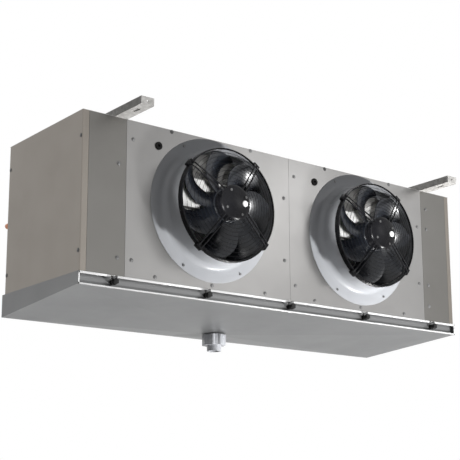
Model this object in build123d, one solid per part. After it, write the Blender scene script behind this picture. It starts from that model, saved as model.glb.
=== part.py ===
from build123d import *
import os
from math import cos, radians, sin, sqrt

# Ceiling-hung walk-in unit cooler: sheet casing, two axial fans that blow
# forward, finned coil behind them, hinged drip tray below.
# Frame: +Z up, X along the casing, the fans face -Y. The origin is the centre
# of the four ceiling slots, on the underside of the hanger rails.

os.makedirs("parts", exist_ok=True)

# ---------------------------------------------------------------- sizes (mm)
# casing
sheet = 1.2                    # casing sheet
casing_depth = 470.0           # front face to back face
end_width = 156.0              # each end compartment
bay_width = 656.0              # each of the two fan bays
panel_gap = 0.8                # shadow gap between neighbouring covers
return_depth = 16.0            # folded edge of every cover
side_wrap = 22.0               # side sheet round onto the front and back
corner_bend = 3.0              # bend at the corners of the side sheets
flange_drop = 20.0             # folded edge of the top panel and sills
clearance = 0.3                # between curved faces and between moving faces

# hanger rails
rail_width = 46.0
rail_height = 25.0
rail_wall = 2.5
rail_inset = 136.0             # casing side to rail centre line
rail_overhang_front = 145.0
rail_overhang_back = 105.0
slot_front_offset = 85.0       # casing front to centre of front slot
slot_back_offset = 45.0        # casing back to centre of back slot
slot_length = 34.0
slot_width = 11.0
end_tab_hole = 6.0
rail_bolt_dia = 8.0
rail_bolt_inset = 45.0         # casing front or back face to rail bolt
rail_bolt_length = 16.0

# fans
fan_dia = 350.0
tip_gap = 6.0                  # blade tip to nozzle
nozzle_sheet = 1.5
nozzle_flange_width = 33.5     # flat of the nozzle on the panel
nozzle_flare = 22.0            # radius of the bend from flange to neck
nozzle_length = 88.0           # panel face to front end of neck
flange_rim_gap = 22.0          # tray rim to nozzle flange
flange_top_gap = 2.0           # nozzle flange to casing top
rim_wall = 3.2                 # guard rim around the neck
rim_grip = 14.0                # length of neck that the rim covers
rim_lip = 5.0                  # rim in front of the neck
arm_turn = 8.0                 # degrees from the diagonals
arm_bar = 4.5                  # square bar of the guard arms
arm_spacing = 13.0             # between the two bars of an arm
guard_dish = 37.0              # front of rim to front of motor plate
ring_wire = 2.6
ring_count = 4
motor_plate_radius = 57.0
motor_plate_thickness = 3.0
stator_radius = 50.0
stator_flange = 10.0
stator_core_radius = 36.0
rotor_radius = 51.0
rotor_length = 62.0
rotor_floor = 6.0
magnet_gap = 1.5
motor_shaft_dia = 12.0
hub_wall = 4.0
blade_count = 7
blade_thickness = 2.6
blade_front = 84.0             # panel face to front edge of blades
blade_back = 34.0              # panel face to back edge of blades
plug_dia = 11.0
plug_offset = 33.0
grommet_dia = 26.0
grommet_bore = 9.0
grommet_side = 210.0           # fan axis to grommet, sideways
grommet_rise = 177.0           # fan axis to grommet, upwards

# coil
coil_depth = 140.0
coil_back_gap = 8.0            # coil back face to casing back face
coil_top_gap = 24.0
coil_bottom_gap = 14.0
tube_dia = 16.0
bend_sides = 8                 # sides of the return bends' section
tube_rows = 6
tube_stub = 6.0                # tube past the tube plate
tube_socket = 4.0              # tube inside the header
header_end = 30.0              # header past the first and last tube
fin_thickness = 0.8
fin_pitch = 26.0
plate_thickness = 2.0          # tube plates
header_dia = 35.0
suction_dia = 28.0
liquid_dia = 16.0
pipe_stub = 60.0               # pipe ends behind the casing back face
socket_wall = 1.2              # wall of the widened pipe ends
suction_socket_depth = 22.0
liquid_socket_depth = 16.0
socket_fit = 0.05              # between a pipe and the socket it enters
capillary_dia = 4.0
distributor_dia = 30.0
distributor_length = 46.0
distributor_reach = 46.0       # tube ends to distributor
heater_dia = 8.5
heater_gap = 8.0               # coil front face to heater centre line
terminal_box = (70.0, 110.0, 150.0)
terminal_wall = 3.0
gland_dia = 20.0
gland_length = 16.0
drip_lip = 12.0                # front edge of the drip plate under the coil

# drip tray
tray_sheet = 1.5
tray_side_overhang = 4.0
tray_back_overhang = 8.0
tray_front_overhang = 2.0
tray_front_height = 40.0
tray_back_height = 73.0
tray_apex_drop = 6.0           # drain point below the back edge of the bottom
channel_depth = 12.0           # front web set back from the lips
hem_height = 7.0
bottom_hem_height = 5.0
drain_x = -70.0
drain_from_front = 335.0
drain_thread_dia = 52.0
drain_stub_dia = 50.0
drain_stub_length = 18.0       # plain end below the thread
drain_bore = 38.0
drain_length = 58.0            # tray bottom to spout end
drain_collar = 3.0
drain_collar_width = 8.0
drain_collar_rise = 8.0        # underside of the tray at the drain to the collar
drain_nut_dia = 84.0
drain_nut_height = 38.0
drain_nut_lobes = 8

# tray hinge and latches
hinge_inset = 56.0             # bay edge to outer hinge
hinge_pin_dia = 5.0
hinge_knuckle_radius = 5.5
hinge_knuckle_width = 16.0
hinge_tab = 3.0
hinge_axis_back = 7.0          # tray back face to hinge axis
hinge_axis_drop = 5.0          # tray rim to hinge axis
hinge_plate_height = 34.0
latch_inset = 118.0            # casing side to outer latch
latch_count = 5
latch_drop = 20.0              # tray rim to stud axis
stud_dia = 8.0
knob_head_dia = 21.0
knob_length = 27.0
knob_base_dia = 17.0
knob_neck_dia = 12.0
latch_bracket_width = 24.0
latch_bracket_gap = 3.0        # tray web to bracket behind it
latch_bracket_sheet = 2.5

# screws
screw_dia = 5.0
screw_head_dia = 9.0
screw_head_height = 2.2
nozzle_screw_inset = 12.0      # flange edge to screw
top_screw_offset = 160.0       # fan axis to screws along the top
top_screw_inset = 6.0
rim_screw_offset = 218.0       # fan axis to screws along the tray rim
rim_screw_inset = 13.0
edge_screw_inset = 23.5        # panel edge to screws up its sides
left_edge_screws = (55.0, 61.0)        # above the rim, below the top
right_edge_screws = (136.0, 146.0)
end_screw_inset = 27.0
end_cover_screws = (56.0, 148.0)
extra_end_screws = (136.0, 69.0)
side_screw_inset = 9.0
side_cover_screws = (63.0, 82.0)

# ------------------------------------------------------------- shared places
x_bay = bay_width
x_side = bay_width + end_width
slot_spacing_y = slot_front_offset + casing_depth + slot_back_offset
y_front = slot_front_offset - slot_spacing_y / 2
y_back = y_front + casing_depth
neck_inner = fan_dia / 2 + tip_gap
neck_outer = neck_inner + nozzle_sheet
panel_hole = neck_outer + nozzle_flare
nozzle_flange_radius = panel_hole + nozzle_flange_width
z_fan = -(nozzle_flange_radius + flange_top_gap)
z_rim = z_fan - nozzle_flange_radius - flange_rim_gap
rail_x = x_side - rail_inset
fan_xs = (-bay_width / 2, bay_width / 2)
sides = ("left", "right")

rim_inner = neck_outer + clearance
rim_outer = rim_inner + rim_wall
rim_front = nozzle_length + rim_lip
motor_plate_front = rim_front + guard_dish
motor_plate_back = motor_plate_front - motor_plate_thickness
stator_back = motor_plate_back - stator_flange
rotor_front = stator_back - 2 * clearance
rotor_back = rotor_front - rotor_length

y_coil_back = y_back - coil_back_gap
y_coil_front = y_coil_back - coil_depth
z_coil_top = -coil_top_gap
z_coil_bottom = z_rim + coil_bottom_gap
tube_columns = (y_coil_front + coil_depth / 4, y_coil_back - coil_depth / 4)
row_pitch = (z_coil_top - z_coil_bottom) / tube_rows
tube_zs = [z_coil_bottom + row_pitch * (row + 0.5) for row in range(tube_rows)]

tube_end = x_bay + plate_thickness + tube_stub
y_heater = y_coil_front - heater_gap
heater_zs = (tube_zs[1], tube_zs[-2])
x_header = -(tube_end + header_dia / 2 - tube_socket)
z_suction = tube_zs[0]
z_liquid = (tube_zs[0] + tube_zs[-1]) / 2
x_distributor = -(tube_end + distributor_reach)
x_liquid = x_distributor - distributor_length - 1.6 * liquid_dia

x_tray = x_side + tray_side_overhang
y_tray_lip = y_front - tray_front_overhang
y_tray_web = y_tray_lip + channel_depth
y_tray_back = y_back + tray_back_overhang
y_drain = y_front + drain_from_front
z_apex = z_rim - tray_back_height - tray_apex_drop
y_hinge = y_tray_back + hinge_axis_back
z_hinge = z_rim - hinge_axis_drop
z_latch = z_rim - latch_drop
latch_pitch = 2 * (x_side - latch_inset) / (latch_count - 1)
latch_xs = [latch_pitch * (n - (latch_count - 1) / 2) for n in range(latch_count)]
hinge_xs = (hinge_inset - x_bay, 0.0, x_bay - hinge_inset)


# ------------------------------------------------------------------- helpers
def slab(x0, x1, y0, y1, z0, z1):
    """Box between two corners."""
    place = Pos((x0 + x1) / 2, (y0 + y1) / 2, (z0 + z1) / 2)
    return place * Box(x1 - x0, y1 - y0, z1 - z0)


def rod_x(radius, x0, x1, y, z):
    """Round bar along X."""
    return Pos((x0 + x1) / 2, y, z) * Rot(0, 90, 0) * Cylinder(radius, x1 - x0)


def rod_y(radius, y0, y1, x, z):
    """Round bar along Y."""
    return Pos(x, (y0 + y1) / 2, z) * Rot(90, 0, 0) * Cylinder(radius, y1 - y0)


def rod_z(radius, z0, z1, x, y):
    """Round bar along Z."""
    return Pos(x, y, (z0 + z1) / 2) * Cylinder(radius, z1 - z0)


def mirrored(shape):
    """The same piece on the other half of the casing."""
    return mirror(shape, about=Plane.YZ)


def write(node, *solids):
    """Write the solids of one node."""
    found = []
    for shape in solids:
        found += shape.solids()
    body = found[0] if len(found) == 1 else Compound(found)
    export_step(body, f"parts/{node}.step")


def turned_on_fan(profile, x):
    """Solid of revolution about a fan axis.

    The profile is drawn with X as the radius and Y as the distance in front
    of the panel face.
    """
    return on_fan(revolve(profile, axis=Axis.Y), x)


def on_fan(shape, x):
    """Put a piece that was drawn about the Y axis on a fan axis."""
    return Pos(x, y_front, z_fan) * Rot(180, 0, 0) * shape


def rectangle_ring(inner, outer, back, front):
    """Profile of a ring about the fan axis."""
    points = [(inner, back), (outer, back), (outer, front), (inner, front)]
    return make_face(Polyline(*points, close=True))


# -------------------------------------------------------------------- casing
def top_panel():
    """Top sheet with folded front and back edges, drilled for the rail bolts."""
    body = slab(-x_side, x_side, y_front, y_back, -sheet, 0)
    fold = sheet + clearance
    ends = x_side - sheet - corner_bend
    for y in (y_front + fold, y_back - fold - sheet):
        body += slab(-ends, ends, y, y + sheet, -flange_drop, -sheet)
    for x, y in rail_bolt_places():
        body -= rod_z(rail_bolt_dia / 2 + clearance, -2 * sheet, sheet, x, y)
    return body


def side_cover():
    """Right side sheet, bent round onto the front and the back."""
    x_middle, x_edge = x_side - sheet / 2, x_side - side_wrap
    y0, y1 = y_front + sheet / 2, y_back - sheet / 2
    path = FilletPolyline((x_edge, y0), (x_middle, y0), (x_middle, y1), (x_edge, y1),
                          radius=corner_bend)
    section = Pos(0, 0, z_rim) * trace(path, sheet)
    return extrude(section, amount=-z_rim - sheet)


def end_cover():
    """Front cover of the right end compartment."""
    x0 = x_bay + panel_gap / 2
    x1 = x_side - side_wrap - panel_gap
    z1 = -sheet - clearance
    body = slab(x0, x1, y_front, y_front + sheet, z_rim, z1)
    body += slab(x0, x0 + sheet, y_front + sheet, y_front + return_depth, z_rim + flange_drop + sheet,
                 -flange_drop - sheet)
    return body


def back_cover():
    """Back cover of the right end compartment."""
    x0 = x_bay + panel_gap / 2
    x1 = x_side - side_wrap - panel_gap
    z1 = -sheet - clearance
    body = slab(x0, x1, y_back - sheet, y_back, z_rim, z1)
    body += slab(x0, x0 + sheet, y_back - return_depth, y_back - sheet, z_rim + flange_drop + sheet,
                 -flange_drop - sheet)
    return body


def piped(cover):
    """Back cover with a hole for each pipe, wide enough for its socket."""
    for dia, x, z in ((suction_dia, x_header, z_suction), (liquid_dia, x_liquid, z_liquid)):
        reach = dia / 2 + socket_fit + socket_wall + clearance
        cover -= rod_y(reach, y_back - 2 * sheet, y_back + sheet, x, z)
    return cover


def fan_panel(x):
    """Front panel of one fan bay with the air opening and folded sides."""
    half = bay_width / 2 - panel_gap / 2
    z1 = -sheet - clearance
    body = slab(x - half, x + half, y_front, y_front + sheet, z_rim, z1)
    for edge in (x - half, x + half - sheet):
        body += slab(edge, edge + sheet, y_front + sheet, y_front + return_depth,
                     z_rim + flange_drop + sheet, -flange_drop - sheet)
    body -= rod_y(panel_hole, y_front - sheet, y_front + 2 * sheet, x, z_fan)
    body -= rod_y(grommet_dia / 2 - 3, y_front - sheet, y_front + 2 * sheet,
                  x - grommet_side, z_fan + grommet_rise)
    return body


def sill(y_face, inward):
    """Angle along the bottom of the casing, behind the front or back sheets.

    inward is +1 for the front sill and -1 for the back sill.
    """
    y_outer = y_face + inward * (sheet + clearance)
    y_upright = y_outer + inward * sheet
    y_foot = y_outer + inward * 2 * flange_drop
    ends = x_side - sheet - corner_bend
    low, high = sorted((y_outer, y_upright))
    body = slab(-ends, ends, low, high, z_rim, z_rim + flange_drop)
    low, high = sorted((y_outer, y_foot))
    return body + slab(-ends, ends, low, high, z_rim, z_rim + sheet)


def bay_partition():
    """Sheet between the two fan bays, from the front panels to the heaters."""
    y0 = y_front + return_depth + clearance
    y1 = y_heater - heater_dia
    return slab(-sheet / 2, sheet / 2, y0, y1, z_rim + flange_drop, -flange_drop - clearance)


# -------------------------------------------------------------- hanger rails
def rail_bolt_places():
    """Places of the bolts that hold the rails to the top panel."""
    ys = (y_front + rail_bolt_inset, y_back - rail_bolt_inset)
    return [(x, y) for x in (-rail_x, rail_x) for y in ys]


def slot_places():
    """Centres of the four ceiling slots."""
    ys = (-slot_spacing_y / 2, slot_spacing_y / 2)
    return [(x, y) for x in (-rail_x, rail_x) for y in ys]


def hanger_rail():
    """Right channel, open upwards, with folded ends, slots and bolt holes."""
    x0, x1 = rail_x - rail_width / 2, rail_x + rail_width / 2
    y0, y1 = y_front - rail_overhang_front, y_back + rail_overhang_back
    body = slab(x0, x1, y0, y1, 0, rail_height)
    body -= slab(x0 + rail_wall, x1 - rail_wall, y0 + rail_wall, y1 - rail_wall,
                 rail_wall, 2 * rail_height)
    body -= rod_y(end_tab_hole / 2, y0 - rail_wall, y1 + rail_wall, rail_x, rail_height / 2)
    for x, y in slot_places():
        body -= Pos(x, y, 0) * Rot(0, 0, 90) * extrude(SlotOverall(slot_length, slot_width),
                                                      amount=2 * rail_wall, both=True)
    for x, y in rail_bolt_places():
        body -= rod_z(rail_bolt_dia / 2 + clearance, -rail_wall, 2 * rail_wall, x, y)
    return body


def hex_bolt(x, y):
    """Rail bolt: head in the channel, shank down through the top panel."""
    head = extrude(RegularPolygon(rail_bolt_dia * 0.9, 6), amount=rail_bolt_dia * 0.65)
    shank = rod_z(rail_bolt_dia / 2, rail_wall - rail_bolt_length, rail_wall, x, y)
    return Pos(x, y, rail_wall) * head + shank


def hex_nut(x, y):
    """Nut of a rail bolt, under the top panel."""
    height = rail_bolt_dia * 0.8
    body = Pos(x, y, -sheet - height) * extrude(RegularPolygon(rail_bolt_dia * 0.9, 6), amount=height)
    return body - rod_z(rail_bolt_dia / 2 + clearance, -sheet - 2 * height, 0, x, y)


# ---------------------------------------------------------------------- fans
def nozzle(x):
    """Drawn ring: flat flange on the panel, bend, neck around the blades."""
    t = nozzle_sheet
    r_bend = nozzle_flare
    start = neck_outer + r_bend
    turn = 45.0
    outer_mid = (start - r_bend * sin(radians(turn)), t + r_bend * (1 - cos(radians(turn))))
    wide = r_bend + t
    inner_mid = (start - wide * sin(radians(turn)), t + r_bend - wide * cos(radians(turn)))
    outline = [
        Line((nozzle_flange_radius, 0), (nozzle_flange_radius, t)),
        Line((nozzle_flange_radius, t), (start, t)),
        ThreePointArc((start, t), outer_mid, (neck_outer, t + r_bend)),
        Line((neck_outer, t + r_bend), (neck_outer, nozzle_length)),
        Line((neck_outer, nozzle_length), (neck_inner, nozzle_length)),
        Line((neck_inner, nozzle_length), (neck_inner, t + r_bend)),
        ThreePointArc((neck_inner, t + r_bend), inner_mid, (start, 0)),
        Line((start, 0), (nozzle_flange_radius, 0)),
    ]
    body = turned_on_fan(make_face(outline), x)
    for px, pz in nozzle_screw_places(x):
        body -= rod_y(screw_dia / 2 + clearance, y_front - 2 * t, y_front + t, px, pz)
    return body


def nozzle_screw_places(x):
    """Four screws on the nozzle flange, 30 degrees either side of vertical."""
    reach = nozzle_flange_radius - nozzle_screw_inset
    return [(x + reach * sin(radians(a)), z_fan + reach * cos(radians(a))) for a in (30, 150, 210, 330)]


def arm_path():
    """Side view of a guard arm: radius, distance in front of the panel."""
    rim_middle = (rim_inner + rim_outer) / 2
    slope_start = (rim_middle - 8, rim_front + 5)
    plate_edge = (motor_plate_radius - 4, motor_plate_back + motor_plate_thickness / 2)
    return [(rim_outer + 3.0, nozzle_length - rim_grip), (rim_outer + 3.0, rim_front - 2),
            slope_start, plate_edge]


def guard_arm_bar(offset):
    """One bar of an arm, cut from its side view."""
    half = arm_bar / 2
    points = arm_path()
    upper = []
    lower = []
    for i, (r, d) in enumerate(points):
        before = points[max(i - 1, 0)]
        after = points[min(i + 1, len(points) - 1)]
        run, rise = after[0] - before[0], after[1] - before[1]
        length = sqrt(run * run + rise * rise)
        nx, ny = -rise / length, run / length
        upper.append((r + nx * half, d + ny * half))
        lower.append((r - nx * half, d - ny * half))
    outline = make_face(Polyline(*upper, *reversed(lower), close=True))
    return Pos(0, 0, offset - half) * extrude(outline, amount=arm_bar)


def ring_place(radius):
    """Distance in front of the panel of a guard ring behind the arms."""
    points = arm_path()
    (r0, d0), (r1, d1) = points[-2], points[-1]
    middle = d0 + (d1 - d0) * (r0 - radius) / (r0 - r1)
    return middle - arm_bar / 2


def fan_guard():
    """Guard about the Y axis: rim, four double arms, wire rings, motor plate."""
    section = Polyline((rim_inner, nozzle_length - rim_grip), (rim_outer, nozzle_length - rim_grip),
                       (rim_outer, rim_front), (neck_inner, rim_front),
                       (neck_inner, nozzle_length + clearance), (rim_inner, nozzle_length + clearance),
                       close=True)
    body = revolve(make_face(section), axis=Axis.Y)
    plate = rectangle_ring(stator_core_radius / 3, motor_plate_radius, motor_plate_back, motor_plate_front)
    body += revolve(plate, axis=Axis.Y)
    wires = []
    inner = motor_plate_radius
    for ring in range(ring_count):
        radius = inner + (neck_inner - inner) * (ring + 1) / (ring_count + 1)
        place = ring_place(radius)
        wires.append(revolve(rectangle_ring(radius - ring_wire / 2, radius + ring_wire / 2,
                                            place - ring_wire / 2, place + ring_wire / 2), axis=Axis.Y))
    bars = []
    for quarter in range(4):
        turn = Rot(0, 45 + arm_turn + 90 * quarter, 0)
        for offset in (-arm_spacing / 2, arm_spacing / 2):
            bars.append(turn * guard_arm_bar(offset))
        bars.append(turn * slab(rim_outer - 1, rim_outer + 3 + arm_bar / 2,
                                nozzle_length - rim_grip, nozzle_length - rim_grip + 8,
                                -arm_spacing / 2, arm_spacing / 2))
    body = body.fuse(*wires, *bars)
    for px, pz in motor_screw_offsets():
        body -= Pos(px, 0, pz) * Rot(90, 0, 0) * Cylinder(screw_dia / 2 + clearance, 4 * motor_plate_front)
    return body


def motor_screw_offsets():
    """Four screws through the guard plate into the motor flange."""
    reach = (stator_core_radius + stator_radius) / 2
    return [(reach * cos(radians(a)), reach * sin(radians(a))) for a in (60, 150, 240, 330)]


def stator():
    """Fixed half of the motor: flange on the guard plate, core, shaft bore."""
    bore = motor_shaft_dia / 2 + clearance
    core_back = rotor_back + rotor_floor + magnet_gap
    points = [(bore, core_back), (stator_core_radius, core_back), (stator_core_radius, stator_back),
              (stator_radius, stator_back), (stator_radius, motor_plate_back), (bore, motor_plate_back)]
    body = revolve(make_face(Polyline(*points, close=True)), axis=Axis.Y)
    for px, pz in motor_screw_offsets():
        body -= Pos(px, motor_plate_back, pz) * Rot(90, 0, 0) * Cylinder(screw_dia / 2 + clearance,
                                                                        2 * stator_flange - 4)
    return body


def rotor():
    """Turning half of the motor: cup around the core, with its shaft."""
    inside = stator_core_radius + magnet_gap
    shaft = motor_shaft_dia / 2
    floor = rotor_back + rotor_floor
    edge = 5.0
    outline = [
        Line((0, rotor_back), (rotor_radius - edge, rotor_back)),
        ThreePointArc((rotor_radius - edge, rotor_back),
                      (rotor_radius - edge * (1 - sin(radians(45))), rotor_back + edge * (1 - cos(radians(45)))),
                      (rotor_radius, rotor_back + edge)),
        Polyline((rotor_radius, rotor_back + edge), (rotor_radius, rotor_front), (inside, rotor_front),
                 (inside, floor), (shaft, floor), (shaft, stator_back + stator_flange / 2),
                 (0, stator_back + stator_flange / 2), (0, rotor_back)),
    ]
    return revolve(make_face(outline), axis=Axis.Y)


def blade_section(radius, chord, pitch, lead, camber):
    """Curved strip across a blade, square to the line from the fan axis.

    pitch is the angle to the plane of rotation and lead the turn about the
    fan axis, in degrees.
    """
    half = blade_thickness / 2
    run = chord / 2
    middle = (blade_front + blade_back) / 2
    strip = [
        ThreePointArc((-run, half), (0, camber + half), (run, half)),
        Line((run, half), (run, -half)),
        ThreePointArc((run, -half), (0, camber - half), (-run, -half)),
        Line((-run, -half), (-run, half)),
    ]
    plane = Plane(origin=(radius, middle, 0), x_dir=(0, 0, 1), z_dir=(1, 0, 0))
    return Rot(0, lead, 0) * (plane * Rot(0, 0, pitch) * make_face(strip))


def impeller():
    """Hub ring pressed on the rotor, with sickle blades."""
    hub_inner = rotor_radius + clearance
    hub_outer = hub_inner + hub_wall
    hub = revolve(rectangle_ring(hub_inner, hub_outer, blade_back, blade_front), axis=Axis.Y)
    reach = fan_dia / 2
    steps = ((hub_inner + hub_wall / 2, 62.0, 42.0, 0.0, 7.0),
             (hub_outer + (reach - hub_outer) * 0.35, 84.0, 32.0, -5.0, 9.0),
             (hub_outer + (reach - hub_outer) * 0.7, 104.0, 26.0, 4.0, 10.0),
             (reach + 4, 118.0, 22.0, 22.0, 10.0))
    blade = loft([blade_section(*step) for step in steps])
    blade &= revolve(rectangle_ring(hub_inner + 0.5, reach, blade_back - 30, blade_front + 30), axis=Axis.Y)
    blades = [Rot(0, 360 / blade_count * n, 0) * blade for n in range(blade_count)]
    return hub.fuse(*blades)


def grommet(x):
    """Rubber grommet of the motor cable, in the fan panel."""
    body_x, body_z = x - grommet_side, z_fan + grommet_rise
    body = rod_y(grommet_dia / 2, y_front - 4, y_front - clearance, body_x, body_z)
    body += rod_y(grommet_dia / 2 - 3 - clearance, y_front - 4, y_front + sheet + 4, body_x, body_z)
    return body - rod_y(grommet_bore / 2, y_front - 8, y_front + sheet + 8, body_x, body_z)


# ---------------------------------------------------------------------- coil
def tube_plate(x_inner, outward):
    """Tube plate that also closes the end compartment towards the fan bay."""
    low, high = sorted((x_inner, x_inner + outward * plate_thickness))
    y0 = y_front + return_depth + clearance
    y1 = y_back - return_depth - clearance
    body = slab(low, high, y0, y1, z_rim + sheet, -sheet)
    for y in tube_columns:
        for z in tube_zs:
            body -= rod_x(tube_dia / 2 + clearance, low - 1, high + 1, y, z)
    for z in heater_zs:
        body -= rod_x(heater_dia / 2 + clearance, low - 1, high + 1, y_heater, z)
    return body


def coil_tubes():
    """Straight tubes from plate to plate."""
    return [rod_x(tube_dia / 2, -tube_end, tube_end, y, z) for y in tube_columns for z in tube_zs]


def return_bends():
    """Bends on the right that join the front and back tube of each row."""
    y0, y1 = tube_columns
    radius = (y1 - y0) / 2
    section = Pos(radius, 0) * RegularPolygon(tube_dia / 2, bend_sides)
    ring = revolve(section, axis=Axis.Y, revolution_arc=180)
    bends = []
    for z in tube_zs:
        bends.append(Pos(tube_end, (y0 + y1) / 2, z) * Rot(90, 0, 0) * Rot(0, -90, 0) * ring)
    return bends


def coil_fins():
    """Fin strips before, between and behind the two tube columns."""
    gap = tube_dia / 2 + clearance
    y0, y1 = tube_columns
    bands = ((y_coil_front, y0 - gap), (y0 + gap, y1 - gap), (y1 + gap, y_coil_back))
    count = int(2 * x_bay / fin_pitch)
    first = -(count - 1) * fin_pitch / 2
    fins = []
    for n in range(count):
        x = first + n * fin_pitch
        for low, high in bands:
            fins.append(slab(x - fin_thickness / 2, x + fin_thickness / 2, low, high,
                             z_coil_bottom, z_coil_top))
    return fins


def suction_header():
    """Vertical header on the left with the suction pipe out of the back."""
    low, high = tube_zs[0] - header_end, tube_zs[-1] + header_end
    y = tube_columns[1]
    body = rod_z(header_dia / 2, low, high, x_header, y)
    body += rod_y(suction_dia / 2, y, y_back + pipe_stub, x_header, z_suction)
    for z in tube_zs:
        body -= rod_x(tube_dia / 2 + clearance, -tube_end - clearance, -x_bay, y, z)
    return with_socket(body, suction_dia, suction_socket_depth, x_header, z_suction)


def with_socket(body, pipe_dia, depth, x, z):
    """Widen the end of a pipe behind the casing so that a like pipe enters."""
    end = y_back + pipe_stub
    bore = pipe_dia / 2 + socket_fit
    body += rod_y(bore + socket_wall, end - depth - 2 * socket_wall, end, x, z)
    return body - rod_y(bore, end - depth, end + 1, x, z)


def liquid_distributor():
    """Distributor body, one thin tube to each front coil tube, liquid pipe."""
    y = tube_columns[0]
    body = rod_x(distributor_dia / 2, x_distributor - distributor_length, x_distributor, y, z_liquid)
    pipe = FilletPolyline((x_distributor - distributor_length, y, z_liquid), (x_liquid, y, z_liquid),
                          (x_liquid, y_back + pipe_stub, z_liquid), radius=1.5 * liquid_dia)
    body += sweep(Plane(origin=pipe @ 0, z_dir=pipe % 0) * Circle(liquid_dia / 2), path=pipe)
    spread = distributor_dia - 1.5 * capillary_dia
    for row, z in enumerate(tube_zs):
        z_start = z_liquid + spread * (row / (tube_rows - 1) - 0.5)
        path = Polyline((x_distributor - capillary_dia, y, z_start), (x_distributor + 8, y, z_start),
                        (-tube_end - 12, y, z), (-tube_end, y, z))
        section = Plane(origin=path @ 0, z_dir=path % 0) * RegularPolygon(capillary_dia / 2, 6)
        body += sweep(section, path=path, transition=Transition.RIGHT)
    return with_socket(body, liquid_dia, liquid_socket_depth, x_liquid, z_liquid)


def defrost_heaters():
    """Straight heater rods in front of the coil, through both tube plates."""
    end = tube_end + 2 * tube_stub
    return [rod_x(heater_dia / 2, -end, end, y_heater, z) for z in heater_zs]


def coil_drip_plate():
    """Sheet under the coil that leads the water to the tray."""
    y0, y1 = y_coil_front - drip_lip, y_back - 2 * sheet - 2 * clearance
    x1 = x_bay - clearance
    z0 = z_rim + sheet
    body = slab(-x1, x1, y0, y1, z0, z0 + sheet)
    return body + slab(-x1, x1, y0, y0 + sheet, z0, z_coil_bottom - clearance)


# ------------------------------------------------------------ electric parts
def terminal_box_body():
    """Open box on the right tube plate."""
    width, depth, height = terminal_box
    x0 = x_bay + plate_thickness
    y0 = y_front + 4 * return_depth
    z0 = z_fan - height / 2
    body = slab(x0, x0 + width, y0, y0 + depth, z0, z0 + height)
    body -= slab(x0 + terminal_wall, x0 + width + 1, y0 + terminal_wall, y0 + depth - terminal_wall,
                 z0 + terminal_wall, z0 + height - terminal_wall)
    for x, y in gland_places():
        body -= rod_z(gland_dia / 4 + clearance, z0 - 1, z0 + terminal_wall + 1, x, y)
    return body


def terminal_box_lid():
    """Lid of the terminal box, with a rim inside the walls."""
    width, depth, height = terminal_box
    x0 = x_bay + plate_thickness + width
    y0 = y_front + 4 * return_depth
    z0 = z_fan - height / 2
    fit = terminal_wall + clearance
    body = slab(x0, x0 + terminal_wall, y0, y0 + depth, z0, z0 + height)
    return body + slab(x0 - terminal_wall, x0, y0 + fit, y0 + depth - fit, z0 + fit, z0 + height - fit)


def gland_places():
    """Cable glands along the bottom of the terminal box."""
    width, depth, _ = terminal_box
    x = x_bay + plate_thickness + width / 2
    y0 = y_front + 4 * return_depth
    return [(x, y0 + depth * share) for share in (0.2, 0.5, 0.8)]


def cable_gland(x, y):
    """Gland nut below the box wall and its thread through it."""
    z0 = z_fan - terminal_box[2] / 2
    nut = Pos(x, y, z0 - gland_length) * extrude(RegularPolygon(gland_dia / 2, 6), amount=gland_length)
    return nut + rod_z(gland_dia / 4, z0 - gland_length, z0 + terminal_wall, x, y)


# ----------------------------------------------------------------- drip tray
def tray_hull(inset):
    """Closed body of the tray, or of its hollow when inset is the sheet.

    The bottom is four flat facets that fall from the corners to the drain.
    """
    x = x_tray - inset
    y0, y1 = y_tray_web + inset, y_tray_back - inset
    top = z_rim + inset
    z0, z1 = z_rim - tray_front_height + inset, z_rim - tray_back_height + inset
    apex = (drain_x, y_drain, z1 - tray_apex_drop)
    rim = [(-x, y0, top), (x, y0, top), (x, y1, top), (-x, y1, top)]
    low = [(-x, y0, z0), (x, y0, z0), (x, y1, z1), (-x, y1, z1)]
    faces = [Face(Wire.make_polygon(rim, close=True))]
    for i in range(4):
        j = (i + 1) % 4
        faces.append(Face(Wire.make_polygon([rim[i], rim[j], low[j], low[i]], close=True)))
        faces.append(Face(Wire.make_polygon([low[i], low[j], apex], close=True)))
    return Solid(Shell(faces))


def drip_tray():
    """Folded tray with a framed front channel, slotted for the latches."""
    t = tray_sheet
    body = tray_hull(0) - tray_hull(t)
    bottom = z_rim - tray_front_height
    body += slab(-x_tray, x_tray, y_tray_lip, y_tray_web, z_rim - t, z_rim)
    body += slab(-x_tray, x_tray, y_tray_lip, y_tray_lip + t, z_rim - hem_height, z_rim)
    body += slab(-x_tray, x_tray, y_tray_lip, y_tray_web, bottom, bottom + t)
    body += slab(-x_tray, x_tray, y_tray_lip, y_tray_lip + t, bottom, bottom + bottom_hem_height)
    for side in (-1, 1):
        outer, inner = side * x_tray, side * (x_tray - t)
        hem = side * (x_tray - bottom_hem_height)
        body += slab(min(outer, inner), max(outer, inner), y_tray_lip, y_tray_web, bottom, z_rim)
        body += slab(min(outer, hem), max(outer, hem), y_tray_lip, y_tray_lip + t, bottom, z_rim)
    notch = knob_head_dia / 2 + 1.5
    slot = stud_dia / 2 + 0.5
    for x in latch_xs:
        body -= slab(x - notch, x + notch, y_tray_lip - 1, y_tray_web, z_rim - hem_height - 1, z_rim + 1)
        body -= slab(x - slot, x + slot, y_tray_web - 1, y_tray_web + t + 1, z_latch, z_rim + 1)
        body -= rod_y(slot, y_tray_web - 1, y_tray_web + t + 1, x, z_latch)
    return body - rod_z(drain_thread_dia / 2 + clearance, z_apex - 20, z_apex + 20, drain_x, y_drain)


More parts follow.
